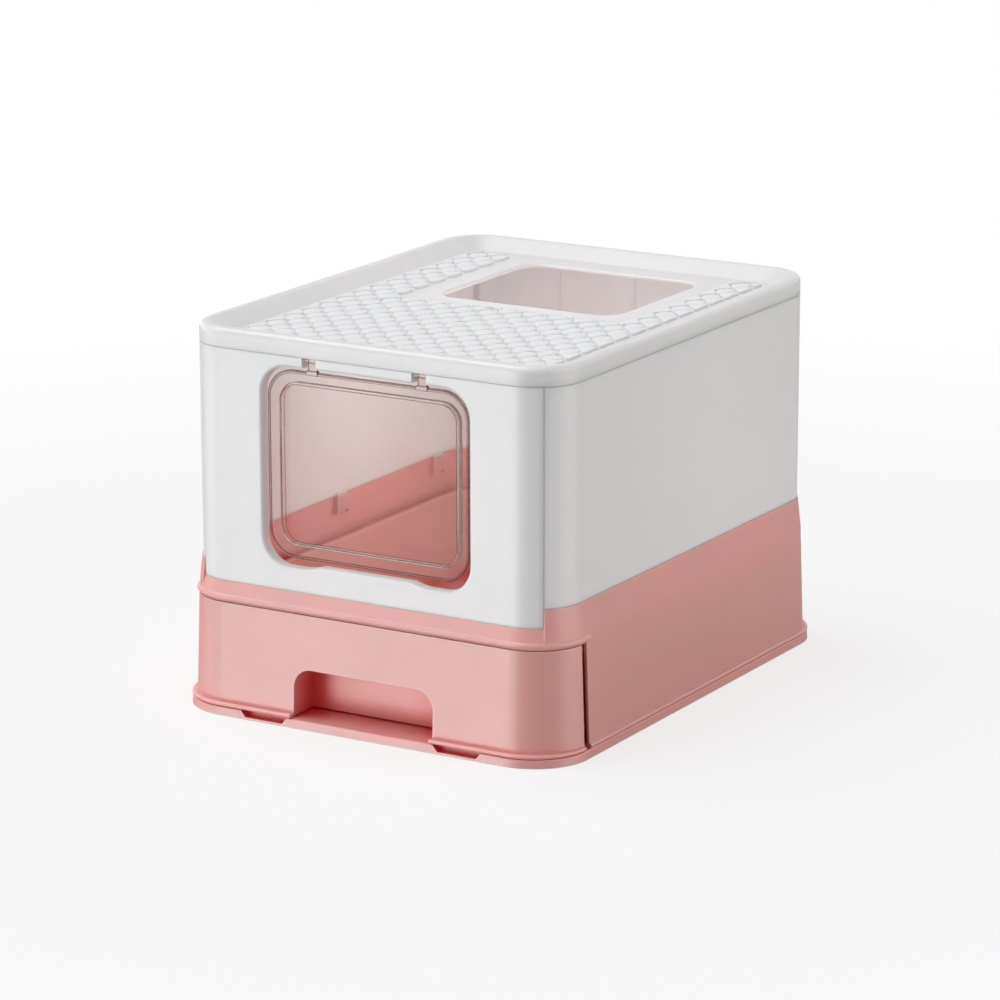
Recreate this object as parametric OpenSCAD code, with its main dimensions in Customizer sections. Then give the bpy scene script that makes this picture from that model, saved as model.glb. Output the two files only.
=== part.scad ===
// Drawer litter box: moulded box with a litter drawer, a hanging flap and an entry in the lid.
// Millimetres, +Z up, front faces -Y, origin at the bottom centre of the footprint.

/* [Body] */
// Width of the white walls
body_w = 390; // [380:2:420]
// Depth of the white walls
body_d = 496; // [480:2:530]
// Radius of the upright corners
corner_r = 44; // [42:1:50]
// Thickness of the moulded walls
wall = 3; // [2.6:0.2:3.2]
// Share of each corner, in degrees, that the front and rear walls wrap
corner_share = 37.5; // [32:0.5:45]

/* [Heights] */
// Seam between the walls and the lid
seam_z = 340; // [334:1:350]
// Height of the lid above that seam
lid_h = 18; // [16:0.5:22]
// Top of the pink side walls
side_top_z = 141.5; // [136:0.5:144]
// Top of the pink front bridge and rear wall
front_top_z = 124; // [121:0.5:128]
// Underside of the front bridge, above the drawer
bridge_z = 105.2; // [103:0.1:107]
// Height over that underside where the pink walls start to slope inwards
bead_h = 7; // [6:0.5:8]

/* [Base] */
// Height of the base plate
plate_h = 8; // [7:0.5:10]
// How far the base plate stands out from the side walls
flange_side = 10; // [9.5:0.5:12]
// How far the base plate stands out from the front and rear walls
flange_end = 14.5; // [12:0.5:16]
// Height of the foot bead on the plate
foot_h = 4.2; // [3.6:0.2:5]
// How far the pink walls stand out at their foot
foot_out = 7.5; // [6:0.5:8]
// How far they stand out at the bridge
waist_out = 4; // [3.4:0.2:5]
// How far they stand out at their top
top_out = 0.8; // [0.6:0.1:1.2]
// Width of each slot in the front edge of the plate
notch_w = 51; // [40:1:56]
// Distance of each slot's middle from the centre line
notch_x = 102; // [98:1:106]

/* [Drawer] */
// Angle by which the drawer's front stops short of the end of each corner
wing_cut = 5.5; // [4:0.5:8]
// Distance of the housing's front edges behind the ends of the front corners
post_l = 4; // [3:0.5:8]
// Gap between the drawer's front and the bridge over it
bridge_gap = 0.8; // [0.5:0.1:1.5]
// Width of the hand cut-out
pull_w = 147; // [120:1:150]
// Top of the hand cut-out
pull_top_z = 54; // [45:1:60]
// Depth of the hand cut-out
pull_depth = 33.5; // [28:0.5:36]
// Radius of the cut-out's upper corners
pull_r = 18; // [10:1:20]
// Distance of the litter tray's sides inside the walls' outer faces
tray_inset = 9; // [8:0.5:14]
// Distance of the litter tray's rear end inside the rear wall's outer face
tray_rear = 12; // [9:0.5:16]
// Top of the litter tray
tray_top_z = 100.5; // [96:0.5:101]

/* [Door] */
// Half width of the door opening
door_half_w = 108.5; // [104:0.5:112]
// Lowest point of the door opening
door_low_z = 146; // [142:0.5:150]
// Height of the raised middle of the sill above that
sill_rise = 3.5; // [2:0.5:4]
// Width of that raised middle, without its slopes
sill_w = 90; // [70:2:96]
// Height of the wall between the door opening and the lid
door_drop = 9.5; // [9:0.5:12]
// Corner radius of the door opening and the flap
door_r = 27; // [20:1:30]
// Gap between the flap and each edge of the opening
flap_gap = 3.5; // [3:0.5:5]
// Depth of the flap's pivot below the lid's seam
pivot_drop = 3; // [2.8:0.1:3.4]
// Distance of each hinge arm from the centre line
arm_x = 57.1; // [45:0.5:60]
// Width of each hinge arm
arm_w = 9.5; // [8:0.5:10]
// Width of each hinge slot
slot_w = 15; // [13:0.5:16]
// Radius of the hinge pegs
peg_r = 1.8; // [1.5:0.1:1.9]

/* [Lid] */
// Width of the top entry
entry_w = 192; // [160:2:196]
// Length of the top entry, front to back
entry_d = 174; // [140:2:178]
// Distance of the top entry's middle to the right of the box's middle
entry_x = 8; // [0:1:10]
// Distance of the top entry's middle behind the box's middle
entry_y = 103; // [80:1:104]
// Corner radius of the top entry
entry_r = 22; // [10:1:30]
// Depth of the lid's floor below its rim
lid_sink = 11.5; // [9:0.5:13]
// Length of the low grip on each long rim
grip_l = 226; // [160:2:260]
// Depth of that grip
grip_depth = 1.2; // [0.8:0.1:1.4]

/* [Fits] */
// Clearance of pieces that slide or lift
slide_gap = 0.3; // [0.3:0.1:0.5]
// Clearance of clipped pieces
clip_gap = 0.2; // [0.1:0.05:0.3]
// Radial clearance of the hinge pegs
peg_gap = 0.08; // [0.05:0.01:0.1]

/* [Output] */
// Which node to draw

/* [Hidden] */
$fn = 96;
PINK = [0.90, 0.62, 0.60];
WHITE = [0.94, 0.94, 0.93];
CLEAR_PINK = [0.86, 0.62, 0.60, 0.55];
EPS = 0.01;
FRONT = 270;                                    // compass angle of the front, from +X
REAR = 90;
front_y = -body_d / 2;
side_y = body_d / 2 - corner_r;                 // ends of the straight side walls
drawer_end_y = -side_y - 2;                     // rear edge of the drawer's top web
housing_end_y = -side_y + post_l;               // front edge of the housing's side walls
bead_end_y = housing_end_y + 4;                 // rear end of the bridge's bead
foot_z = plate_h + foot_h;
waist_z = bridge_z + bead_h;                    // the pink walls slope inwards above this
plate_w = body_w + 2 * flange_side;
plate_d = body_d + 2 * flange_end;
plate_r = corner_r + flange_side;
plate_side_y = plate_d / 2 - plate_r;           // ends of the plate's straight sides
side_share = 90 - corner_share;
seam_angle = 0.2;                               // half the gap between neighbouring walls
front_out = 0.5;                                // front and rear walls stand out this much
pivot_y = front_y + 6.5;
pivot_z = seam_z - pivot_drop;
door_top_z = seam_z - door_drop;
flap_top_z = door_top_z - flap_gap;
flap_low_z = door_low_z + sill_rise + flap_gap + 0.5;
flap_half_w = door_half_w - flap_gap;
flap_y = pivot_y - 1;                           // front face of the closed flap
flap_t = 2.4;
lid_top_z = seam_z + lid_h;
lid_floor_z = lid_top_z - lid_sink;
lid_skin = 2.4;
tray_front_y = front_y - foot_out + pull_depth;
web_t = 2.5;                                    // thickness of the drawer's top rim
loop_ys = [38 - side_y, 12, side_y - 14];       // clip places along each side wall
rear_loop_xs = [-110, 0, 110];
front_loop_xs = [-80, 80];
loop_t = 1.6;                                   // thickness of a belt loop's band
loop_cheek = 2.6;
tongue_w = 16;
tongue_t = 2;
shelf_t = 2.2;                                  // thickness of the shelf behind the bridge
tongue_l = front_top_z - bridge_z - shelf_t - 0.6;
clip_in = clip_gap - wall;                      // front of the clips, behind the walls
hook_ys = [74 - side_y, 30, side_y - 4];        // snap hooks along each side of the plate
hook_in = body_w / 2 + lean(20) - wall;         // inner face of the walls at the hooks
hook_w = 14;
hook_t = 2;
hook_z = plate_h + 11.5;                        // underside of the hooks' noses

// Outer face of the leaning pink wall at height z, as an offset from the body outline
function lean(z) = foot_out - (z - foot_z) * (foot_out - waist_out) / (waist_z - foot_z);

// Middle of the pink wall's thickness at height z, where that wall ends at top_z
function mid(z, top_z) = -wall / 2
    + (z < waist_z ? lean(z)
                   : waist_out - (z - waist_z) * (waist_out - top_out) / (top_z - waist_z));

// ---- Tools for shapes that follow the rounded-rectangle outline ----

module outline(w, d, r) {
    square([w - 2 * r, d], center = true);
    square([w, d - 2 * r], center = true);
    for (sx = [-1, 1], sy = [-1, 1])
        translate([sx * (w / 2 - r), sy * (d / 2 - r)]) circle(r = r);
}

// Sweeps a section round one straight side; x is outward from the outline, y is height
module straight(k, w, d, r) {
    len = (k % 2 == 0 ? d : w) - 2 * r;
    half = (k % 2 == 0 ? w : d) / 2;
    rotate([0, 0, 90 * k]) translate([half, len / 2, 0]) rotate([90, 0, 0])
        linear_extrude(len) children();
}

// Sweeps a section round part of one corner, starting at the end that meets a straight side
module corner(k, w, d, r, from, to) {
    q = (k + 4) % 4;
    sx = (q == 0 || q == 3) ? 1 : -1;
    sy = q < 2 ? 1 : -1;
    back = from % 90 != 0;
    translate([sx * (w / 2 - r), sy * (d / 2 - r), 0])
        rotate([0, 0, back ? to : from]) mirror([0, back ? 1 : 0, 0])
            rotate_extrude(angle = to - from) translate([r, 0]) children();
}

// Sweeps a section round the outline from one compass angle to another
module wrap(from, to, w = body_w, d = body_d, r = corner_r) {
    closed = to - from == 360;
    for (k = [floor(from / 90) : ceil(to / 90) - 1])
        if (min(to, 90 * k + 90) > max(from, 90 * k))
            corner(k, w, d, r, max(from, 90 * k), min(to, 90 * k + 90)) children();
    for (k = [ceil(from / 90) : floor(to / 90)])
        if ((90 * k > from && 90 * k < to) || (closed && 90 * k == from))
            straight(k, w, d, r) children();
}

// Sweeps a section along part of both straight sides
module both_sides(y0, y1, w = body_w)
    for (s = [0, 1]) mirror([s, 0, 0]) translate([w / 2, y1, 0]) rotate([90, 0, 0])
        linear_extrude(y1 - y0) children();

// Section of an upright wall: from depth `back` behind the outline, between two heights
module strip(back, thick, z0, z1) translate([-back - thick, z0]) square([thick, z1 - z0]);

// Section of the leaning pink wall
module pink_wall(z0, z1, t = wall)
    polygon([[lean(z0) - t, z0], [lean(z0), z0], [lean(z1), z1], [lean(z1) - t, z1]]);

// Section of the pink wall above its waist, sloping inwards
module pink_top(top_z)
    polygon([[waist_out - wall, waist_z], [waist_out, waist_z], [top_out, top_z],
             [top_out - wall, top_z]]);

// Section of the foot bead, with a round nose; drawn for the base plate's outline
module foot_bead(z0) {
    nose = (foot_z - z0) / 2;
    reach = flange_end - foot_out + 1;          // the bead starts inside the pink wall
    translate([-reach, z0]) square([reach - nose, 2 * nose]);
    translate([-nose, z0 + nose]) circle(r = nose);
}

// Extrudes a front-view outline (x, z) backwards from y0 over a depth
module from_front(y0, depth)
    translate([0, y0 + depth, 0]) rotate([90, 0, 0]) linear_extrude(depth) children();

// Places a clip part drawn for a wall facing +X on the front (-90) or rear (90) wall
module on_end(angle, xs)
    for (x = xs) rotate([0, 0, angle]) translate([body_d / 2, x, 0]) children();

// ---- Base plate ----

module base_plate() color(PINK) {
    skin = 2.5;
    rib_t = 3;
    rib_low = 1.5;
    rib_h = plate_h - skin - rib_low + EPS;
    notch_depth = 8.5;
    difference() {
        union() {
            translate([0, 0, plate_h - skin])
                linear_extrude(skin) outline(plate_w - 6, plate_d - 6, plate_r - 3);
            wrap(-90, 270, plate_w, plate_d, plate_r) plate_edge(skin);
            for (k = [-1, 0, 1]) {
                translate([k * body_w * 0.31 - rib_t / 2, 2 - plate_d / 2, rib_low])
                    cube([rib_t, plate_d - 4, rib_h]);
                translate([2 - plate_w / 2, k * body_d * 0.3 - rib_t / 2, rib_low])
                    cube([plate_w - 4, rib_t, rib_h]);
            }
            for (s = [-1, 1])
                from_front(1 - plate_d / 2, notch_depth + 0.6) plate_notch(s, 1.6, plate_h);
        }
        for (s = [-1, 1])
            from_front(-plate_d / 2 - 1, notch_depth + 1) plate_notch(s, 0, plate_h + 0.5);
    }
    for (s = [0, 1], y = hook_ys) mirror([s, 0, 0]) plate_hook(y);
}

// Section of the plate's edge: flat top, rounded shoulder and a hanging skirt
module plate_edge(skin) {
    edge_r = 1.4;
    draft = 0.6;
    shoulder_x = -draft - edge_r;
    translate([-4, plate_h - skin]) square([4 + shoulder_x, skin]);
    translate([shoulder_x, plate_h - edge_r]) circle(r = edge_r);
    polygon([[-skin, 0], [0, 0], [-draft, plate_h - edge_r], [-draft - skin, plate_h - edge_r]]);
}

// Front view of one tapered slot in the plate's front edge, grown by g and ending at `high`
module plate_notch(s, g, high) {
    taper = 5.5;
    low = 2 - g;
    half = notch_w / 2 + g;
    translate([s * notch_x, 0])
        polygon([[taper - half, low], [half - taper, low], [half, high], [-half, high]]);
}

// Upright snap hook that grips the housing's inner ledge
module plate_hook(y) {
    face_x = hook_in - 2.8;
    nose = 1.7;
    nose_h = 2.5;
    translate([face_x - hook_t, y - hook_w / 2, plate_h - EPS])
        cube([hook_t, hook_w, hook_z + nose_h - plate_h + EPS]);
    translate([face_x - EPS, y + hook_w / 2, hook_z]) rotate([90, 0, 0])
        linear_extrude(hook_w) polygon([[0, 0], [nose, 0], [0, nose_h]]);
}

// ---- Housing ----

module housing() color(PINK) {
    lap = 0.3;                                  // angle by which neighbouring sweeps overlap
    wrap(0, 180) pink_wall(plate_h, waist_z);
    both_sides(housing_end_y, side_y) pink_wall(plate_h, waist_z);
    wrap(180, 360) pink_wall(bridge_z, waist_z);
    both_sides(-side_y, housing_end_y) pink_wall(bridge_z, waist_z);
    // Above their waist the sides stand higher than the front bridge and the rear
    for (a = [0, 180]) wrap(a - side_share, a + side_share) pink_top(side_top_z);
    for (a = [REAR, FRONT])
        wrap(a - corner_share - lap, a + corner_share + lap) pink_top(front_top_z);
    wrap(0, 180, plate_w, plate_d, plate_r) foot_bead(plate_h);
    both_sides(housing_end_y, plate_side_y, plate_w) foot_bead(plate_h);
    wrap(180, 360) bridge_bead();
    both_sides(-side_y, bead_end_y) bridge_bead();
    bridge_shelf();
    for (s = [0, 1], y = hook_ys) mirror([s, 0, 0]) hook_ledge(y);
    for (s = [0, 1], y = loop_ys) mirror([s, 0, 0]) translate([body_w / 2, y, 0])
        clip_loop(side_top_z);
    on_end(90, rear_loop_xs) clip_loop(front_top_z);
    on_end(-90, front_loop_xs) clip_loop(front_top_z);
}

// Section of the round bead over the drawer
module bridge_bead() {
    r = bead_h / 2;
    out = 2;                                    // how far the bead stands out from the wall
    x = lean(bridge_z + r) + out - r;
    intersection() {
        translate([x, bridge_z + r]) circle(r = r);
        translate([x - 1.5, bridge_z]) square([r + 2, 2 * r]);
    }
}

// Stiffening shelf behind the bridge
module bridge_shelf() {
    reach = 11;                                 // how far the shelf stands inwards
    grow = mid(bridge_z + shelf_t, front_top_z); // the shelf starts inside the wall
    translate([0, 0, bridge_z]) linear_extrude(shelf_t) difference() {
        intersection() {
            outline(body_w + 2 * grow, body_d + 2 * grow, corner_r + grow);
            translate([0, front_y]) square([body_w + 20, 2 * (corner_r - 10)], center = true);
        }
        translate([0, reach - wall])
            outline(body_w - 2 * (wall + reach), body_d - 2 * wall, corner_r - wall);
    }
}

// Ledge that a snap hook of the base plate grips
module hook_ledge(y) {
    ledge_h = 2.7;
    ledge_w = hook_w + 4;
    translate([hook_in - 1.6, y - ledge_w / 2, hook_z - slide_gap - ledge_h])
        cube([2.4, ledge_w, ledge_h]);
}

// Belt loop that holds a wall's tongue; drawn for a wall facing +X, centred on y = 0
module clip_loop(top_z) {
    low_z = max(top_z - tongue_l - 3, bridge_z);
    high_z = top_z - 1;
    back_x = clip_in - tongue_t - 2 * clip_gap - loop_t;
    cheek_y = tongue_w / 2 + clip_gap + loop_cheek / 2;
    knee = low_z < waist_z ? [[mid(waist_z, top_z), waist_z]] : [];
    for (s = [-1, 1])
        translate([0, s * cheek_y + loop_cheek / 2, 0]) rotate([90, 0, 0])
            linear_extrude(loop_cheek)
                polygon(concat([[back_x, low_z], [mid(low_z, top_z), low_z]], knee,
                               [[mid(high_z, top_z), high_z], [back_x, high_z]]));
    translate([back_x, -tongue_w / 2 - 1, low_z + 3])
        cube([loop_t, tongue_w + 2, high_z - low_z - 3]);
}

// ---- Walls ----

// Tongue that enters a belt loop, welded to the wall by its root; drawn like the loop
module tongue(top_z) {
    x0 = clip_in - clip_gap - tongue_t;
    root_z = top_z + 0.3;
    root_h = 3;
    translate([x0, -tongue_w / 2, top_z - tongue_l])
        cube([tongue_t, tongue_w, root_z + root_h - top_z + tongue_l]);
    translate([x0 + 1, -tongue_w / 2, root_z]) cube([1 - x0 - wall, tongue_w, root_h]);
}

// Rim along a wall's top edge that stands up inside the lid's skirt
module top_rim() {
    foot_back = wall - front_out - 0.4;         // the rim's foot starts inside every wall
    rim_back = lid_skin + clip_gap;
    rim_t = 2.2;
    strip(rim_back, rim_t, seam_z - 6, seam_z + 3.6);
    strip(foot_back, rim_back + rim_t - foot_back, seam_z - 6, seam_z);
}

// Front or rear wall with its shares of the two corners
module end_wall(angle)
    wrap(angle - corner_share + seam_angle, angle + corner_share - seam_angle)
        union() {
            strip(-front_out, wall, front_top_z, seam_z);
            top_rim();
        }

module front_panel() color(WHITE) {
    face_y = front_y - front_out;
    lip_depth = 10.5;
    lip_t = 2.4;
    bar = 0.2;                                  // the rim above each slot starts this high
    difference() {
        union() {
            end_wall(FRONT);
            from_front(face_y, lip_depth) door_outline(lip_t);
            for (s = [-1, 1]) arm_lugs(s);
        }
        from_front(face_y - 1, lip_depth + 3) door_outline(0);
        door_round(face_y);
        for (s = [-1, 1]) {
            translate([s * arm_x - slot_w / 2, face_y - 1, door_top_z - 3])
                cube([slot_w, lip_depth + 4, seam_z - door_top_z + 3 + bar]);
            peg_groove(s);
        }
    }
    sill(face_y, lip_depth);
    on_end(-90, front_loop_xs) tongue(front_top_z);
}

// Front view of the door opening without its raised sill, grown by g
module door_outline(g)
    translate([0, (door_low_z + door_top_z) / 2])
        outline(2 * (door_half_w + g), door_top_z - door_low_z + 2 * g, door_r + g);

// Rounds the front edge of the door opening
module door_round(face_y) {
    edge_r = 2.4;
    w = 2 * door_half_w;
    h = door_top_z - door_low_z;
    translate([0, face_y, (door_low_z + door_top_z) / 2]) rotate([90, 0, 0])
        wrap(-90, 270, w, h, door_r) difference() {
            translate([-1, -edge_r]) square([edge_r + 1, edge_r + 1]);
            translate([edge_r, -edge_r]) circle(r = edge_r);
        }
}

// Raised middle of the sill, with sloping ends and a rounded front edge
module sill(face_y, depth) {
    edge_r = 2.4;
    root = 4;                                   // how far the sill is drawn into the wall
    top_z = door_low_z + sill_rise;
    half = sill_w / 2;
    intersection() {
        translate([-half - 30, 0, 0]) rotate([90, 0, 90]) linear_extrude(sill_w + 60) {
            translate([face_y, door_low_z - root]) square([depth, root + sill_rise - edge_r]);
            translate([face_y + edge_r, door_low_z - root])
                square([depth - edge_r, root + sill_rise]);
            translate([face_y + edge_r, top_z - edge_r]) circle(r = edge_r);
        }
        from_front(face_y - 1, depth + 2)
            for (s = [0, 1]) mirror([s, 0])
                polygon([[0, door_low_z - 2.2], [half + 21, door_low_z - 2.2],
                         [half + 19, door_low_z], [half + 11, door_low_z + 1],
                         [half + 4, top_z - 0.4], [half, top_z + 1], [0, top_z + 1]]);
    }
}

// Pair of bearing lugs beside one hinge slot
module arm_lugs(s) {
    lug_w = 5;
    for (e = [-1, 1])
        translate([s * arm_x + e * (slot_w + lug_w) / 2 - lug_w / 2, front_y - front_out + 0.1,
                   door_top_z + 1])
            cube([lug_w, 11, seam_z - door_top_z - 1.2]);
}

// Snap bearing for the pegs of one arm: a bore with a narrower mouth at the rear
module peg_groove(s) {
    l = slot_w + 7;
    mouth = 1.6 * peg_r;
    translate([s * arm_x - l / 2, pivot_y, pivot_z])
        rotate([0, 90, 0]) cylinder(r = peg_r + peg_gap, h = l);
    translate([s * arm_x - l / 2, pivot_y, pivot_z - mouth / 2]) cube([l, 8, mouth]);
}

module rear_panel() color(WHITE) {
    rib_t = 2;
    rib_out = 1.2;
    end_wall(REAR);
    for (x = [-84, 0, 84])
        translate([x - rib_t / 2, front_out - wall - front_y - rib_out, front_top_z + 8])
            cube([rib_t, rib_out + 1, seam_z - front_top_z - 15]);
    on_end(90, rear_loop_xs) tongue(front_top_z);
}

// One side wall, facing +X
module side_wall() {
    half = side_share - seam_angle;
    lap_back = wall - 0.2;
    lap_t = 1.6;
    wrap(-half, half) union() {
        strip(0, wall, side_top_z, seam_z);
        top_rim();
    }
    // Laps that pass behind the front and rear walls' edges
    for (a = [-half - 5, half - 1])
        wrap(a, a + 6) strip(lap_back, lap_t, side_top_z + 3, seam_z - 7);
    for (y = loop_ys) translate([body_w / 2, y, 0]) tongue(side_top_z);
}

module right_panel() color(WHITE) side_wall();

module left_panel() color(WHITE) mirror([1, 0, 0]) side_wall();

// ---- Drawer ----

module drawer() color(PINK) {
    low_z = plate_h + slide_gap;
    skin = 2.6;
    bead_cut = 1;                               // as wing_cut, for the bead at the foot
    difference() {
        union() {
            wrap(180 + wing_cut, 360 - wing_cut)
                pink_wall(low_z, bridge_z - bridge_gap, skin);
            wrap(180 + bead_cut, 360 - bead_cut, plate_w, plate_d, plate_r) foot_bead(low_z);
            pull_pocket(low_z, skin);
        }
        from_front(front_y - 20, 20 + pull_depth - foot_out) pull_outline(0);
    }
    tray(low_z, skin);
}

// Front view of the hand cut-out, grown by g; open below
module pull_outline(g) {
    w = pull_w + 2 * g;
    r = pull_r + g;
    translate([-w / 2, 0]) square([w, pull_top_z + g - r]);
    translate([-w / 2 + r, 0]) square([w - 2 * r, pull_top_z + g]);
    for (s = [-1, 1]) translate([s * (w / 2 - r), pull_top_z + g - r]) circle(r = r);
}

// Side walls and ceiling of the hand cut-out
module pull_pocket(low_z, skin) {
    start_y = front_y - lean(pull_top_z) + 0.4; // the pocket starts inside the drawer's face
    intersection() {
        from_front(start_y, tray_front_y + 0.6 - start_y) pull_outline(skin);
        translate([-body_w / 2, start_y - 1, low_z + 1]) cube([body_w, pull_depth + 10, 80]);
    }
}

module tray(low_z, skin) {
    lift = 1.1;                                 // the tray stands on two runners
    floor_z = low_z + 4.2;
    rear_y = -front_y - tray_rear;
    w = body_w - 2 * tray_inset;
    d = rear_y - tray_front_y;
    mid_y = (rear_y + tray_front_y) / 2;
    r = corner_r - 14;
    rim = 2.5;
    runner_w = 6;
    difference() {
        union() {
            translate([0, mid_y, low_z + lift])
                linear_extrude(tray_top_z - low_z - lift) outline(w, d, r);
            translate([0, mid_y, tray_top_z - web_t])
                linear_extrude(web_t) outline(w + 2 * rim, d + 2 * rim - 2, r + 2);
            drawer_web();
        }
        translate([0, mid_y, floor_z])
            linear_extrude(tray_top_z) outline(w - 2 * skin, d - 2 * skin, r - skin);
    }
    for (s = [-1, 1])
        translate([s * 120 - runner_w / 2, tray_front_y + 20, low_z])
            cube([runner_w, d - 40, lift + 0.1]);
}

// Top web that joins the drawer's front to the tray
module drawer_web() {
    grow = lean(tray_top_z) - 1.3;              // the web ends inside the drawer's face
    translate([0, 0, tray_top_z - web_t]) linear_extrude(web_t)
        intersection() {
            outline(body_w + 2 * grow, body_d + 2 * grow, corner_r + grow);
            translate([-body_w / 2 - 10, front_y - 10])
                square([body_w + 20, drawer_end_y - front_y + 10]);
        }
}

// ---- Lid ----

module lid() color(WHITE) {
    floor_back = 33;
    floor_in = floor_back - 0.05;
    difference() {
        union() {
            wrap(-90, 270) lid_edge(floor_back);
            translate([0, 0, lid_floor_z - lid_skin]) linear_extrude(lid_skin)
                outline(body_w - 2 * floor_in, body_d - 2 * floor_in, corner_r - floor_in);
            entry_edge();
        }
        translate([entry_x, entry_y, lid_floor_z - 20]) linear_extrude(40)
            outline(entry_w, entry_d, entry_r);
        entry_round();
        for (s = [0, 1]) mirror([s, 0, 0]) rim_grip();
    }
}

// Section of the lid's edge: skirt, round shoulder, rim and the slope down to the floor
module lid_edge(floor_back) {
    r = 6;
    rim_back = 9;
    low = seam_z + slide_gap;
    floor_low = lid_floor_z - lid_skin;
    difference() {
        union() {
            translate([-r, low]) square([r, lid_h - r - slide_gap]);
            translate([-r, lid_top_z - r]) circle(r = r);
            polygon([[-floor_back, floor_low], [-r, floor_low], [-r, lid_top_z],
                     [-rim_back, lid_top_z], [-rim_back - 2, lid_top_z - 0.6],
                     [-floor_back + 4, lid_floor_z + 0.6], [-floor_back, lid_floor_z]]);
        }
        translate([-r, low - 1]) square([r - lid_skin, lid_h - r + 1 - slide_gap]);
        translate([-r, lid_top_z - r]) circle(r = r - lid_skin);
        polygon([[-floor_back + 1, floor_low - 1], [-r + EPS, floor_low - 1],
                 [-r + EPS, lid_top_z - lid_skin], [-rim_back, lid_top_z - lid_skin],
                 [-floor_back + 2, floor_low]]);
    }
}

// Thickened edge round the top entry
module entry_edge()
    translate([entry_x, entry_y, lid_floor_z - lid_skin - 1]) linear_extrude(lid_skin)
        outline(entry_w + 2 * lid_skin, entry_d + 2 * lid_skin, entry_r + lid_skin);

// Rounds the upper edge of the top entry
module entry_round() {
    edge_r = 2.2;
    translate([entry_x, entry_y, lid_floor_z]) wrap(-90, 270, entry_w, entry_d, entry_r)
        difference() {
            translate([-1, -edge_r]) square([edge_r + 1, edge_r + 1]);
            translate([edge_r, -edge_r]) circle(r = edge_r);
        }
}

// Low grip along one long rim, with a ramp at each end
module rim_grip() {
    ramp = 6;
    half = grip_l / 2;
    reach = 13;                                 // how far in the grip starts
    translate([body_w / 2 - reach, -5, lid_top_z]) rotate([90, 0, 90]) linear_extrude(reach + 1)
        polygon([[-half, 1], [-half, 0], [ramp - half, -grip_depth], [half - ramp, -grip_depth],
                 [half, 0], [half, 1]]);
}

// ---- Flap ----

module flap_door() color(CLEAR_PINK) {
    rim_w = 13.5;
    dish = 8;
    pane_t = 2;
    step = 2;                                   // wall thickness round the dished pane
    w = 2 * flap_half_w;
    h = flap_top_z - flap_low_z;
    mid_z = (flap_top_z + flap_low_z) / 2;
    ir = door_r - rim_w + 3;
    difference() {
        union() {
            from_front(flap_y, flap_t) translate([0, mid_z]) outline(w, h, door_r);
            from_front(flap_y, dish) translate([0, mid_z])
                outline(w - 2 * (rim_w - step), h - 2 * (rim_w - step), ir + step);
        }
        from_front(flap_y - 1, dish - pane_t + 1) translate([0, mid_z])
            outline(w - 2 * rim_w, h - 2 * rim_w, ir);
    }
    // Raised bead along the flap's edge
    translate([0, flap_y, mid_z]) rotate([90, 0, 0])
        wrap(-90, 270, w, h, door_r) translate([-2.6, -0.4]) square([1.6, 1.2]);
    for (s = [-1, 1]) translate([s * arm_x, 0, 0]) flap_arm();
}

// One hinge arm with its pegs
module flap_arm() {
    peg_l = slot_w + 6;
    barrel_r = 2.4;
    root = 6;                                   // how far the arm is drawn into the flap
    knuckle = 1.4;
    translate([-arm_w / 2, flap_y, flap_top_z - root])
        cube([arm_w, flap_t, pivot_z - flap_top_z + root]);
    translate([-arm_w / 2, pivot_y, pivot_z]) rotate([0, 90, 0]) cylinder(r = barrel_r, h = arm_w);
    translate([-peg_l / 2, pivot_y, pivot_z]) rotate([0, 90, 0]) cylinder(r = peg_r, h = peg_l);
    translate([-arm_w / 2 - 1, flap_y - knuckle, flap_top_z - 3])
        cube([arm_w + 2, flap_t + knuckle, 4]);
}

base_plate();
housing();
drawer();
front_panel();
rear_panel();
left_panel();
right_panel();
lid();
flap_door();
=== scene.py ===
"""Dresses the drawer litter box: moulded plastics, the lid's tread, a plain studio and a camera."""
import logging
import math
from dataclasses import dataclass, field
from enum import Enum

import bmesh
import bpy
from mathutils import Matrix, Vector


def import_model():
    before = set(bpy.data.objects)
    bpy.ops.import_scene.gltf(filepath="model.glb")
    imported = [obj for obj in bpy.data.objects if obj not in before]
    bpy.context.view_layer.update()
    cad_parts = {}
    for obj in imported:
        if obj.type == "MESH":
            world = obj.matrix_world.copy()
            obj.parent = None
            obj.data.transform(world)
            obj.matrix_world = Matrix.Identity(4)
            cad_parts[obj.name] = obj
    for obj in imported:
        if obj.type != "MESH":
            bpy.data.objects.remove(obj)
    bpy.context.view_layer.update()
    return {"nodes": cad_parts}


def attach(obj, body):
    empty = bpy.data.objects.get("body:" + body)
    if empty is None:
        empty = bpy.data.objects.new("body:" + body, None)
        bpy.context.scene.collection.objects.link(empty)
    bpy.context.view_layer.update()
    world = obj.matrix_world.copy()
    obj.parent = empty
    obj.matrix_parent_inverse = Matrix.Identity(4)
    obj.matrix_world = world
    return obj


LOG = logging.getLogger("litter_box")
Colour = tuple[float, float, float]
Point = tuple[float, float, float]
TOUCH = 1e-5  # metres off a line within which a point counts as on it


def srgb(red: int, green: int, blue: int) -> Colour:
    """Turns an 8-bit display colour into scene-linear values.

    Args:
        red: Red, 0 to 255.
        green: Green, 0 to 255.
        blue: Blue, 0 to 255.

    Returns:
        The three linear values.
    """
    def linear(value: int) -> float:
        """Undoes the display curve of one channel."""
        part = value / 255
        return part / 12.92 if part <= 0.04045 else ((part + 0.055) / 1.055) ** 2.4
    return linear(red), linear(green), linear(blue)


# ---- Shader graphs ----

PROBES = 6  # rays that feel out edges and recesses at each point


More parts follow.
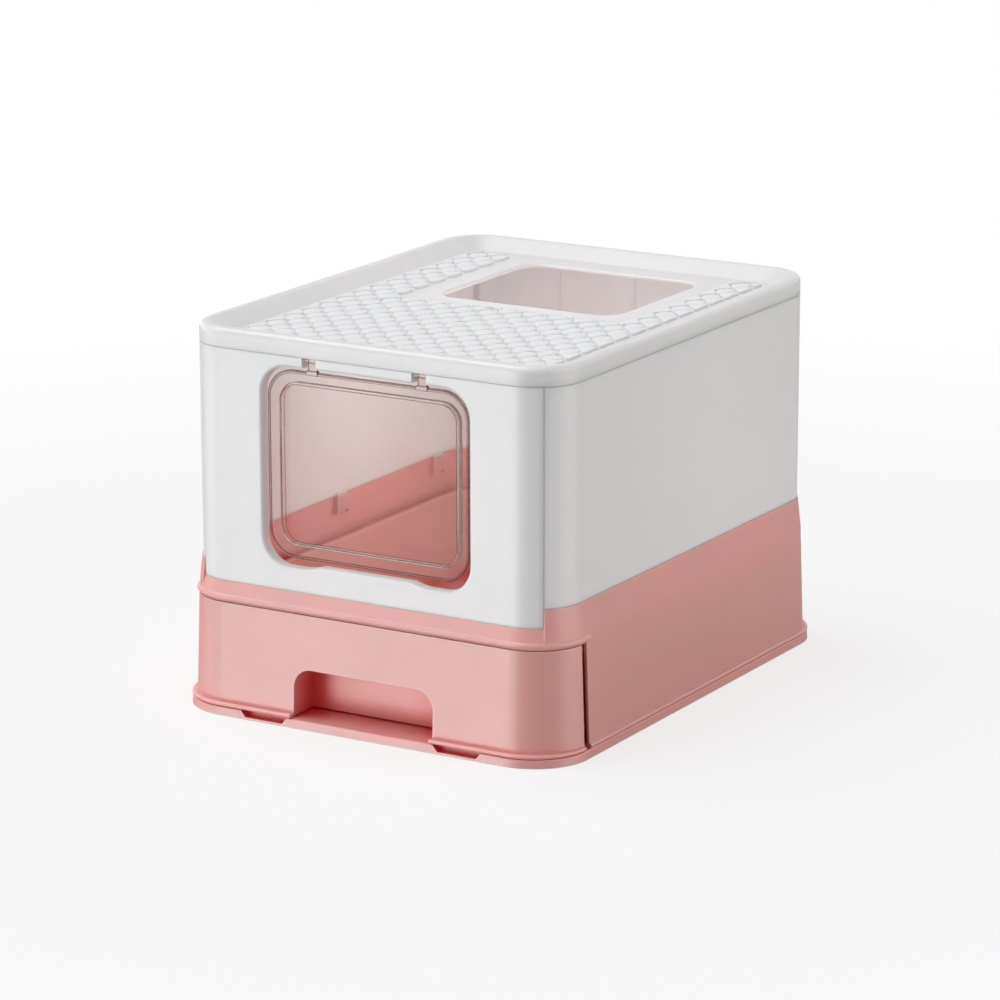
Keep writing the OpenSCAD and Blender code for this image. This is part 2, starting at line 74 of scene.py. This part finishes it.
class Term:
    """A value socket of a shader graph that takes part in Python arithmetic."""

    def __init__(self, graph: "Graph", socket: bpy.types.NodeSocket) -> None:
        """Wraps an output socket.

        Args:
            graph: The graph that the socket belongs to.
            socket: The output socket.
        """
        self.graph = graph
        self.socket = socket

    def _math(self, operation: str, first: "Term | float", second: "Term | float") -> "Term":
        """Adds one Math node.

        Args:
            operation: The Math node's operation.
            first: Its first input.
            second: Its second input.

        Returns:
            The node's result.
        """
        return self.graph.term("ShaderNodeMath", {"operation": operation}, {0: first, 1: second})

    def __add__(self, other: "Term | float") -> "Term":
        """Returns self + other."""
        return self._math("ADD", self, other)

    __radd__ = __add__

    def __mul__(self, other: "Term | float") -> "Term":
        """Returns self * other."""
        return self._math("MULTIPLY", self, other)

    __rmul__ = __mul__

    def __sub__(self, other: "Term | float") -> "Term":
        """Returns self - other."""
        return self._math("SUBTRACT", self, other)

    def __rsub__(self, other: "Term | float") -> "Term":
        """Returns other - self."""
        return self._math("SUBTRACT", other, self)

    def ramp(self, low: float, high: float) -> "Term":
        """Fades from 0 to 1 between two values.

        Args:
            low: Value at which the result is 0.
            high: Value at which the result is 1.

        Returns:
            The smooth fade.
        """
        return self.graph.term("ShaderNodeMapRange", {"interpolation_type": "SMOOTHSTEP"},
                               {"Value": self, "From Min": low, "From Max": high})


class Graph:
    """The node graph of one material or of the world."""

    def __init__(self, tree: bpy.types.NodeTree) -> None:
        """Starts an empty graph.

        Args:
            tree: The node tree, whose nodes are removed.
        """
        self.tree = tree
        tree.nodes.clear()

    def add(self, kind: str, settings: dict | None = None,
            inputs: dict | None = None) -> bpy.types.Node:
        """Adds a node, its settings first and then its inputs.

        Args:
            kind: The node's type.
            settings: The node's own properties.
            inputs: Values or links by socket name or number.

        Returns:
            The new node.
        """
        node = self.tree.nodes.new(kind)
        for name, value in (settings or {}).items():
            setattr(node, name, value)
        for key, value in (inputs or {}).items():
            if isinstance(value, Term):
                value = value.socket
            if isinstance(value, bpy.types.NodeSocket):
                self.tree.links.new(value, node.inputs[key])
            elif isinstance(value, tuple) and len(value) == 3 and node.inputs[key].type == "RGBA":
                node.inputs[key].default_value = (*value, 1.0)
            else:
                node.inputs[key].default_value = value
        return node

    def term(self, kind: str, settings: dict | None = None, inputs: dict | None = None,
             output: str | int = 0) -> Term:
        """Adds a node and wraps one of its outputs.

        Args:
            kind: The node's type.
            settings: The node's own properties.
            inputs: Values or links by socket name or number.
            output: The output's name or number.

        Returns:
            The wrapped output.
        """
        return Term(self, self.add(kind, settings, inputs).outputs[output])

    def blend(self, factor: Term, first: "Colour | Term", second: "Colour | Term") -> Term:
        """Mixes two colours.

        Args:
            factor: 0 for the first colour, 1 for the second.
            first: A colour.
            second: A colour.

        Returns:
            The mixed colour.
        """
        node = self.add("ShaderNodeMix", {"data_type": "RGBA"}, {"Factor": factor})
        for socket, colour in ((node.inputs[6], first), (node.inputs[7], second)):
            if isinstance(colour, Term):
                self.tree.links.new(colour.socket, socket)
            else:
                socket.default_value = (*colour, 1.0)
        return Term(self, node.outputs[2])

    def noise(self, place: Term, scale: float, detail: float = 2.0,
              roughness: float = 0.5) -> Term:
        """Adds a noise from 0 to 1.

        Args:
            place: The coordinates.
            scale: Features per metre.
            detail: Octaves.
            roughness: Strength of the finer octaves.

        Returns:
            The noise value.
        """
        return self.term("ShaderNodeTexNoise", {},
                         {"Vector": place, "Scale": scale, "Detail": detail,
                          "Roughness": roughness})

    def rounded(self, radius: float) -> Term:
        """Adds a normal that turns softly over sharp edges.

        Args:
            radius: Radius of the softened edges in metres.

        Returns:
            The normal.
        """
        return self.term("ShaderNodeBevel", {"samples": PROBES}, {"Radius": radius})

    def edges(self, radius: float, low: float, high: float) -> Term:
        """Marks the strips along sharp edges.

        Args:
            radius: Width of the strips in metres.
            low: Turn of the softened normal at which a strip starts, as 1 - cosine.
            high: Turn at which it is full.

        Returns:
            1 at the edges, 0 away from them.
        """
        facing = self.term("ShaderNodeNewGeometry", output="True Normal")
        match = self.term("ShaderNodeVectorMath", {"operation": "DOT_PRODUCT"},
                          {0: self.rounded(radius), 1: facing}, output="Value")
        return (1.0 - match).ramp(low, high)


def new_material(name: str) -> tuple[bpy.types.Material, Graph]:
    """Makes an empty node material.

    Args:
        name: The material's name.

    Returns:
        The material and its graph.
    """
    material = bpy.data.materials.new(name)
    material.use_nodes = True
    return material, Graph(material.node_tree)


# ---- Finishes ----

SCUFFS = (260.0, 40.0, 420.0)  # per metre across, along and up the box


@dataclass(frozen=True)
class SatinPlastic:
    """A satin moulded plastic with soft edges, faint flow marks, edges painted pale as wear and
    painted highlight, and painted red shade in recesses.

    Args:
        name: Name of the material.
        colour: Its linear colour.
        shade: The linear colour in the flow marks.
        gloss: Roughness of the plain surface.
        edge: Radius of the softened edges in metres.
        wear_and_highlight: How pale the edges are painted, partly as wear and partly as painted
            highlight, 0 to 1.
        glow: Share of light that travels inside the plastic.
        reach: How far each colour of that light travels, against the others.
        depth: How far it travels in metres.
        density: Index of refraction.
        painted_recess_shade: The linear colour painted deep in narrow recesses, a painted red shade
            standing in for the light the plastic throws on itself there.
        deep: How far off a facing wall may be for that, in metres.
    """

    name: str
    colour: Colour
    shade: Colour
    gloss: float
    edge: float = 0.0004
    wear_and_highlight: float = 0.35
    glow: float = 1.0
    reach: Colour = (1.0, 1.0, 1.0)
    depth: float = 0.005
    density: float = 1.49
    painted_recess_shade: Colour | None = None
    deep: float = 0.045

    def make(self) -> bpy.types.Material:
        """Builds the node material.

        Returns:
            The material.
        """
        material, graph = new_material(self.name)
        place = graph.term("ShaderNodeTexCoord", output="Object")
        flow = graph.noise(place, scale=7.0)
        cloud = graph.noise(place, scale=38.0, detail=3.0, roughness=0.6)
        grain = graph.noise(place, scale=2300.0, roughness=0.6)
        soft = graph.rounded(self.edge)
        edges = graph.edges(radius=self.edge * 3.0, low=0.005, high=0.22)
        along = graph.term("ShaderNodeMapping", {}, {"Vector": place, "Scale": SCUFFS})
        scuffs = graph.noise(along, scale=1.0, detail=4.0, roughness=0.7).ramp(0.62, 0.80)
        mottle = flow.ramp(0.3, 0.7) * 0.6 + cloud.ramp(0.3, 0.75) * 0.4
        colour = graph.blend(mottle, self.colour, self.shade)
        # Painted shade: narrow recesses are painted a deep red, standing in for shade lit by light
        # bouncing inside the plastic; the pale edge strips are painted out there
        if self.painted_recess_shade:
            open_air = graph.term("ShaderNodeAmbientOcclusion", {"samples": PROBES},
                                  {"Distance": self.deep}, output="AO")
            colour = graph.blend((1.0 - open_air).ramp(0.29, 0.72), colour, self.painted_recess_shade)
            edges = edges * open_air.ramp(0.36, 0.56)
        # Edges painted paler, partly as wear and partly as painted highlight, about halfway to
        # white
        pale_wear_and_highlight = tuple(part * 0.45 + 0.5 for part in self.colour)
        colour = graph.blend(edges * self.wear_and_highlight, colour, pale_wear_and_highlight)
        # Heights in metres: slow waves of the mould, then ever finer marks
        height = flow * 0.00045 + cloud * 0.00005 + grain * 0.00002 - scuffs * 0.00001
        bump = graph.term("ShaderNodeBump", {}, {"Height": height, "Normal": soft,
                                                 "Strength": 1.0, "Distance": 1.0})
        rough = self.gloss + cloud * 0.08 - edges * 0.08 + scuffs * 0.06
        shader = graph.add("ShaderNodeBsdfPrincipled", {}, {
            "Base Color": colour, "Roughness": rough, "Normal": bump, "IOR": self.density,
            "Subsurface Weight": self.glow, "Subsurface Radius": self.reach,
            "Subsurface Scale": self.depth, "Specular IOR Level": 1.0})
        graph.add("ShaderNodeOutputMaterial", {}, {"Surface": shader.outputs[0]})
        return material


@dataclass(frozen=True)
class ClearPlastic:
    """A tinted see-through moulded plastic whose edges are painted dark, as painted shade for the
    dark refraction there.

    Args:
        name: Name of the material.
        tint: The linear colour that the plastic lends to what is behind it.
        rim: The linear colour painted along its edges, a painted dark refraction.
        gloss: Roughness of its polished faces.
        edge: Width of those edges in metres.
    """

    name: str
    tint: Colour
    rim: Colour
    gloss: float = 0.03
    edge: float = 0.0012

    def make(self) -> bpy.types.Material:
        """Builds the node material.

        Returns:
            The material.
        """
        material, graph = new_material(self.name)
        place = graph.term("ShaderNodeTexCoord", output="Object")
        flow = graph.noise(place, scale=9.0)
        smear = graph.noise(place, scale=60.0, detail=4.0, roughness=0.65).ramp(0.45, 0.8)
        bump = graph.term("ShaderNodeBump", {}, {"Height": flow * 0.0002, "Strength": 1.0,
                                                 "Distance": 1.0})
        deeper = tuple(part * part for part in self.tint)
        # Painted shade: the edges are painted near black, standing in for the dark surroundings
        # seen refracted there
        edges = graph.edges(radius=self.edge, low=0.005, high=0.08)
        colour = graph.blend(flow.ramp(0.35, 0.7), self.tint, deeper)
        shader = graph.add("ShaderNodeBsdfPrincipled", {}, {
            "Base Color": graph.blend(edges, colour, self.rim),
            "Roughness": self.gloss + smear * 0.05, "Normal": bump, "IOR": 1.46,
            "Transmission Weight": 0.92})
        graph.add("ShaderNodeOutputMaterial", {}, {"Surface": shader.outputs[0]})
        return material


# PINK paints red shade into its recesses and strongly pale edges, partly wear and partly painted
# highlight
PINK = SatinPlastic("pink_polypropylene", srgb(239, 174, 168), srgb(236, 170, 164), 0.32,
                    reach=(1.0, 0.8, 0.75), depth=0.003, density=1.52, painted_recess_shade=srgb(226, 62, 46),
                    edge=0.0009, wear_and_highlight=0.85)
WHITE = SatinPlastic("white_polypropylene", srgb(237, 240, 241), srgb(235, 238, 240), 0.34)
TREAD = SatinPlastic("white_polypropylene_tread", srgb(250, 251, 253), srgb(248, 249, 252), 0.34,
                     glow=0.0)
# The last colour is the painted dark line along the flap's edges
CLEAR = ClearPlastic("clear_pink_polystyrene", (0.98, 0.93, 0.905), (0.06, 0.02, 0.015))


class Slot(Enum):
    """The record's material slots."""

    PINK = "pink_plastic"
    WHITE = "white_plastic"
    CLEAR = "clear_pink_plastic"


# ---- Pieces ----


@dataclass
class Shell:
    """The moulded pieces that keep their solids and get their finishes."""

    slots: dict[str, Slot] = field(default_factory=lambda: {
        "base_plate": Slot.PINK, "housing": Slot.PINK, "drawer": Slot.PINK,
        "front_panel": Slot.WHITE, "rear_panel": Slot.WHITE, "left_panel": Slot.WHITE,
        "right_panel": Slot.WHITE, "lid": Slot.WHITE, "flap_door": Slot.CLEAR})

    def dress(self, nodes: dict[str, bpy.types.Object],
              finishes: dict[Slot, bpy.types.Material]) -> None:
        """Gives each solid its finish.

        Args:
            nodes: The solids by name.
            finishes: The material of each slot.
        """
        for name, slot in self.slots.items():
            for material_slot in nodes[name].material_slots:
                material_slot.material = finishes[slot]
            LOG.info("dressed %s in %s", name, slot.value)


@dataclass
class LidTread:
    """Grip pads on the lid's sunk floor, in a lattice of rhombs.

    Args:
        floor_z: Height of the lid's floor.
        pitch_x: Distance between pads across the box.
        pitch_y: Distance between pads along the box.
        shift_x: Where the lattice starts across the box.
        shift_y: Where the lattice starts along the box.
        half_w: Half width of the field.
        half_d: Half length of the field.
        bare_left: Left side of the smooth area round the top entry.
        bare_right: Right side of that smooth area.
        bare_y: Front end of that smooth area.
        groove: Width of the grooves between pads.
        height: Height of a pad.
        corner: How far each pad's corners are cut back.
        shoulder: Radius of each pad's upper edge.
        crumb: Area below which a cut cell gets no pad, in square metres.
        cells: Cells along each side of the lattice before it is cut.
    """

    floor_z: float = 0.3465
    pitch_x: float = 0.02625
    pitch_y: float = 0.02967
    shift_x: float = 0.0
    shift_y: float = 0.0115
    half_w: float = 0.160
    half_d: float = 0.205
    bare_left: float = -0.1125
    bare_right: float = 0.1285
    bare_y: float = -0.010
    groove: float = 0.0026
    height: float = 0.0024
    corner: float = 0.0070
    shoulder: float = 0.0018
    crumb: float = 3e-5
    cells: int = 34

    def make(self) -> bpy.types.Object:
        """Builds the pads as one mesh in place.

        Returns:
            The object that holds them.
        """
        shape = bmesh.new()
        self._lattice(shape)
        self._trim(shape)
        self._pads(shape)
        mesh = bpy.data.meshes.new("lid_tread")
        shape.to_mesh(mesh)
        shape.free()
        for polygon in mesh.polygons:
            polygon.use_smooth = True
        tread = bpy.data.objects.new("lid_tread", mesh)
        bpy.context.scene.collection.objects.link(tread)
        return tread

    def _lattice(self, shape: bmesh.types.BMesh) -> None:
        """Lays a flat lattice of rhombs over the whole lid.

        Args:
            shape: The mesh to fill.
        """
        bmesh.ops.create_grid(shape, x_segments=self.cells, y_segments=self.cells,
                              size=self.cells / 2)
        diagonal = math.sqrt(0.5)
        place = (Matrix.Translation((self.shift_x, self.shift_y, self.floor_z))
                 @ Matrix.Diagonal((self.pitch_x * diagonal, self.pitch_y * diagonal, 1, 1))
                 @ Matrix.Rotation(math.radians(45), 4, "Z"))
        bmesh.ops.transform(shape, matrix=place, verts=shape.verts)

    def _cut(self, shape: bmesh.types.BMesh, point: tuple[float, float],
             away: tuple[float, float], clear: bool) -> None:
        """Cuts the flat lattice along a line.

        Args:
            shape: The lattice.
            point: A point of the line.
            away: Direction across the line.
            clear: Whether what lies in that direction goes.
        """
        bmesh.ops.bisect_plane(
            shape, geom=shape.verts[:] + shape.edges[:] + shape.faces[:], dist=1e-6,
            plane_co=(*point, self.floor_z), plane_no=(*away, 0.0), clear_outer=clear)

    def _trim(self, shape: bmesh.types.BMesh) -> None:
        """Cuts the lattice to the field and takes out the smooth area.

        Args:
            shape: The lattice.
        """
        for side in (-1, 1):
            self._cut(shape, (side * self.half_w, 0.0), (side, 0.0), True)
            self._cut(shape, (0.0, side * self.half_d), (0.0, side), True)
        lines = []
        for point, away in (((self.bare_left, 0.0), (1.0, 0.0)),
                            ((self.bare_right, 0.0), (1.0, 0.0)),
                            ((0.0, self.bare_y), (0.0, 1.0))):
            self._cut(shape, point, away, False)
            lines.append((Vector((*point, self.floor_z)), Vector((*away, 0.0))))
        gone = [face for face in shape.faces
                if self.bare_left < face.calc_center_median().x < self.bare_right
                and face.calc_center_median().y > self.bare_y]
        bmesh.ops.delete(shape, geom=gone, context="FACES")
        spare = [edge for edge in shape.edges if len(edge.link_faces) == 2
                 and any(all(abs((vert.co - point).dot(away)) < TOUCH for vert in edge.verts)
                         for point, away in lines)]
        bmesh.ops.dissolve_edges(shape, edges=spare, use_verts=True)

    def _pads(self, shape: bmesh.types.BMesh) -> None:
        """Turns each cell of the lattice into a raised pad with soft edges.

        Args:
            shape: The trimmed lattice.
        """
        rims = bmesh.ops.inset_individual(shape, faces=shape.faces[:],
                                          thickness=self.groove / 2)["faces"]
        bmesh.ops.delete(shape, geom=rims, context="FACES")
        small = [face for face in shape.faces if face.calc_area() < self.crumb]
        bmesh.ops.delete(shape, geom=small, context="FACES")
        for corners in [face.verts[:] for face in shape.faces]:
            bmesh.ops.bevel(shape, geom=corners, offset=self.corner, segments=4,
                            profile=0.5, affect="VERTICES", clamp_overlap=True, material=-1)
        for face in shape.faces:
            face.normal_update()
            if face.normal.z < 0:
                face.normal_flip()
        grown = bmesh.ops.extrude_face_region(shape, geom=shape.faces[:])["geom"]
        bmesh.ops.translate(shape, vec=(0.0, 0.0, self.height),
                            verts=[item for item in grown if isinstance(item, bmesh.types.BMVert)])
        under = [face for face in shape.faces
                 if all(vert.co.z < self.floor_z + self.height / 2 for vert in face.verts)]
        bmesh.ops.delete(shape, geom=under, context="FACES")
        for rim in [item.edges[:] for item in grown if isinstance(item, bmesh.types.BMFace)]:
            bmesh.ops.bevel(shape, geom=rim, offset=self.shoulder, segments=3, profile=0.5,
                            affect="EDGES", clamp_overlap=True, material=-1)


# ---- Studio ----


@dataclass(frozen=True)
class Lamp:
    """A broad, distant lamp.

    Args:
        name: The lamp's name.
        strength: Brightness it gives a white surface that faces it.
        azimuth: Degrees to the right of straight in front.
        elevation: Degrees above the floor.
        spread: How wide the lamp looks, in degrees.
        colour: Its colour.
    """

    name: str
    strength: float
    azimuth: float
    elevation: float
    spread: float
    colour: Colour

    def place(self) -> None:
        """Makes the lamp and turns it towards the box."""
        lamp = bpy.data.lights.new(self.name, "SUN")
        lamp.energy = self.strength * math.pi
        lamp.angle = math.radians(self.spread)
        lamp.color = self.colour
        holder = bpy.data.objects.new(self.name, lamp)
        holder.rotation_euler = view_frame(self.azimuth, self.elevation, roll=0.0).to_euler()
        bpy.context.scene.collection.objects.link(holder)


LAMPS = (
    Lamp("key_light", 0.48, -75.0, 64.0, 44.0, (1.0, 1.0, 1.0)),
    Lamp("front_light_low", 0.2376, -29.0, -12.0, 26.0, (0.98, 0.99, 1.0)),
    Lamp("front_light_high", 0.072, -29.0, 12.0, 26.0, (0.98, 0.99, 1.0)),
    Lamp("left_light_front", 0.192, -66.0, -11.0, 34.0, (1.0, 0.99, 0.98)),
    Lamp("left_light_back", 0.128, -112.0, -11.0, 50.0, (1.0, 0.99, 0.98)),
    Lamp("side_light", 0.345, 105.0, 4.0, 60.0, (1.0, 0.965, 0.93)),
)


@dataclass
class Studio:
    """A plain pale room: a white floor, soft sky light and broad lamps.

    Args:
        sky: Strength of the even light from all round.
        cabin_power: Power of the small soft lamp in the cabin, in watts.
        cabin_place: The place of that lamp.
        cabin_radius: Its radius in metres.
        cabin_colour: Its colour.
        floor_lit: The floor's colour for the light that it throws on the box.
        floor_seen: The floor's colour for the camera.
        floor_glow: Share of plain white that the camera sees in the floor near the box.
        floor_size: Width of the floor in metres.
        near: Distance from the box at which the floor's shadow starts to fade.
        far: Distance at which it is gone.
    """

    sky: float = 0.27
    cabin_power: float = 0.56
    cabin_place: Point = (0.0, 0.05, 0.23)
    cabin_radius: float = 0.06
    cabin_colour: Colour = (1.0, 0.98, 0.96)
    floor_lit: Colour = (0.5, 0.5, 0.5)
    floor_seen: Colour = (0.93, 0.93, 0.93)
    floor_glow: float = 0.75
    floor_size: float = 60.0
    near: float = 0.7
    far: float = 1.6

    def build(self) -> None:
        """Makes the floor, the world and the lamps."""
        self._world()
        self._floor()
        for lamp in LAMPS:
            lamp.place()
        self._cabin_light()

    def _world(self) -> None:
        """Even white light, and plain white for the camera."""
        world = bpy.data.worlds.new("studio")
        world.use_nodes = True
        bpy.context.scene.world = world
        graph = Graph(world.node_tree)
        rays = graph.add("ShaderNodeLightPath")
        seen = Term(graph, rays.outputs["Is Camera Ray"])
        for kind in ("Is Glossy Ray", "Is Transmission Ray"):
            seen = graph.term("ShaderNodeMath", {"operation": "MAXIMUM"},
                              {0: seen, 1: rays.outputs[kind]})
        lit = graph.add("ShaderNodeBackground", {}, {"Color": (1.0, 1.0, 1.0),
                                                     "Strength": self.sky})
        white = graph.add("ShaderNodeBackground", {}, {"Color": (1.0, 1.0, 1.0), "Strength": 1.0})
        mixed = graph.add("ShaderNodeMixShader", {}, {0: seen, 1: lit.outputs[0],
                                                      2: white.outputs[0]})
        graph.add("ShaderNodeOutputWorld", {}, {"Surface": mixed.outputs[0]})

    def _floor(self) -> None:
        """White floor that keeps the shadow near the object."""
        material, graph = new_material("studio_floor")
        place = graph.term("ShaderNodeTexCoord", output="Object")
        reach = graph.term("ShaderNodeVectorMath", {"operation": "LENGTH"}, {0: place},
                           output="Value").ramp(self.near, self.far)
        rays = graph.add("ShaderNodeLightPath")
        seen = Term(graph, rays.outputs["Is Camera Ray"])
        plain = graph.add("ShaderNodeBsdfDiffuse", {}, {
            "Color": graph.blend(seen, self.floor_lit, self.floor_seen)})
        glow = graph.add("ShaderNodeEmission", {}, {"Color": (1.0, 1.0, 1.0), "Strength": 1.0})
        share = seen * (reach * (1 - self.floor_glow) + self.floor_glow)
        mixed = graph.add("ShaderNodeMixShader", {}, {0: share, 1: plain.outputs[0],
                                                      2: glow.outputs[0]})
        graph.add("ShaderNodeOutputMaterial", {}, {"Surface": mixed.outputs[0]})
        shape = bmesh.new()
        bmesh.ops.create_grid(shape, x_segments=8, y_segments=8, size=self.floor_size / 2)
        mesh = bpy.data.meshes.new("floor")
        shape.to_mesh(mesh)
        shape.free()
        mesh.materials.append(material)
        floor = bpy.data.objects.new("floor", mesh)
        floor.visible_shadow = False
        bpy.context.scene.collection.objects.link(floor)

    def _cabin_light(self) -> None:
        """Adds a soft warm lamp in the middle of the cabin."""
        lamp = bpy.data.lights.new("cabin_light", "POINT")
        lamp.energy = self.cabin_power
        lamp.shadow_soft_size = self.cabin_radius
        lamp.color = self.cabin_colour
        holder = bpy.data.objects.new("cabin_light", lamp)
        holder.location = self.cabin_place
        for ray in ("camera", "glossy", "transmission"):
            setattr(holder, f"visible_{ray}", False)
        bpy.context.scene.collection.objects.link(holder)


def view_frame(azimuth: float, elevation: float, roll: float) -> Matrix:
    """Works out the turn of something that looks at the box.

    Args:
        azimuth: Degrees to the right of straight in front.
        elevation: Degrees above the floor.
        roll: Degrees of turn about the line of sight.

    Returns:
        A rotation whose columns point right, up and back.
    """
    turn, rise, lean = (math.radians(angle) for angle in (azimuth, elevation, roll))
    back = Vector((math.sin(turn) * math.cos(rise), -math.cos(turn) * math.cos(rise),
                   math.sin(rise)))
    level = Vector((math.cos(turn), math.sin(turn), 0.0))
    raised = back.cross(level)
    right = math.cos(lean) * level + math.sin(lean) * raised
    up = math.cos(lean) * raised - math.sin(lean) * level
    return Matrix((right, up, back)).transposed()


@dataclass
class Viewpoint:
    """The camera.

    Args:
        azimuth: Degrees to the right of straight in front.
        elevation: Degrees above the floor.
        roll: Degrees of turn about the line of sight.
        distance: Metres from the target.
        target: The point it looks at.
        focal: Focal length in pixels of a 1000-pixel picture.
    """

    azimuth: float = 30.642
    elevation: float = 14.650
    roll: float = -0.097
    distance: float = 4.1132
    target: Point = (-0.0077, 0.0, 0.1619)
    focal: float = 4393.5

    def place(self) -> None:
        """Makes the camera and the scene's view of it."""
        camera = bpy.data.cameras.new("camera")
        camera.sensor_width = 36.0
        camera.lens = self.focal / 1000 * camera.sensor_width
        camera.clip_end = 100.0
        holder = bpy.data.objects.new("camera", camera)
        turn = view_frame(self.azimuth, self.elevation, self.roll)
        spot = Vector(self.target) + turn.col[2] * self.distance
        holder.matrix_world = Matrix.Translation(spot) @ turn.to_4x4()
        bpy.context.scene.collection.objects.link(holder)
        bpy.context.scene.camera = holder


def main() -> None:
    """Dresses the box and sets it in the studio."""
    logging.basicConfig(level=logging.INFO, format="%(message)s")
    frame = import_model()
    bpy.context.scene.view_settings.view_transform = "Standard"
    Viewpoint().place()
    Studio().build()
    finishes = {Slot.PINK: PINK.make(), Slot.WHITE: WHITE.make(), Slot.CLEAR: CLEAR.make()}
    Shell().dress(frame["nodes"], finishes)
    tread = LidTread().make()
    tread.data.materials.append(TREAD.make())
    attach(tread, "lid")
    LOG.info("made %s", tread.name)


if __name__ == "__main__":
    main()
